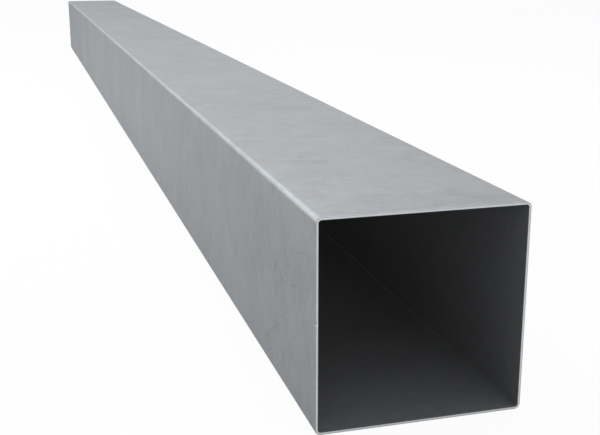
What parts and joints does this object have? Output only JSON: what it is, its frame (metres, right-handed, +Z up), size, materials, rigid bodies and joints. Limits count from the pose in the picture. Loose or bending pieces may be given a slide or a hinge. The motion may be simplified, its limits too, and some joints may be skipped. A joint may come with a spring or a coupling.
{
  "type": "square tube",
  "caption": "Thin-walled square steel tube, a straight cut length with tightly rounded corners, square-cut open ends and a clear bore from end to end.",
  "frame": {"origin": "the middle of the underside, on the level the tube lies on, halfway along its length", "axes": "+Y along the length, +X across, +Z up, square to the side the tube lies on"},
  "size_m": [0.15, 2.8, 0.15],
  "materials": {
    "steel": "satin"
  },
  "bodies": {
    "root": {"tube": "steel"}
  },
  "joints": []
}
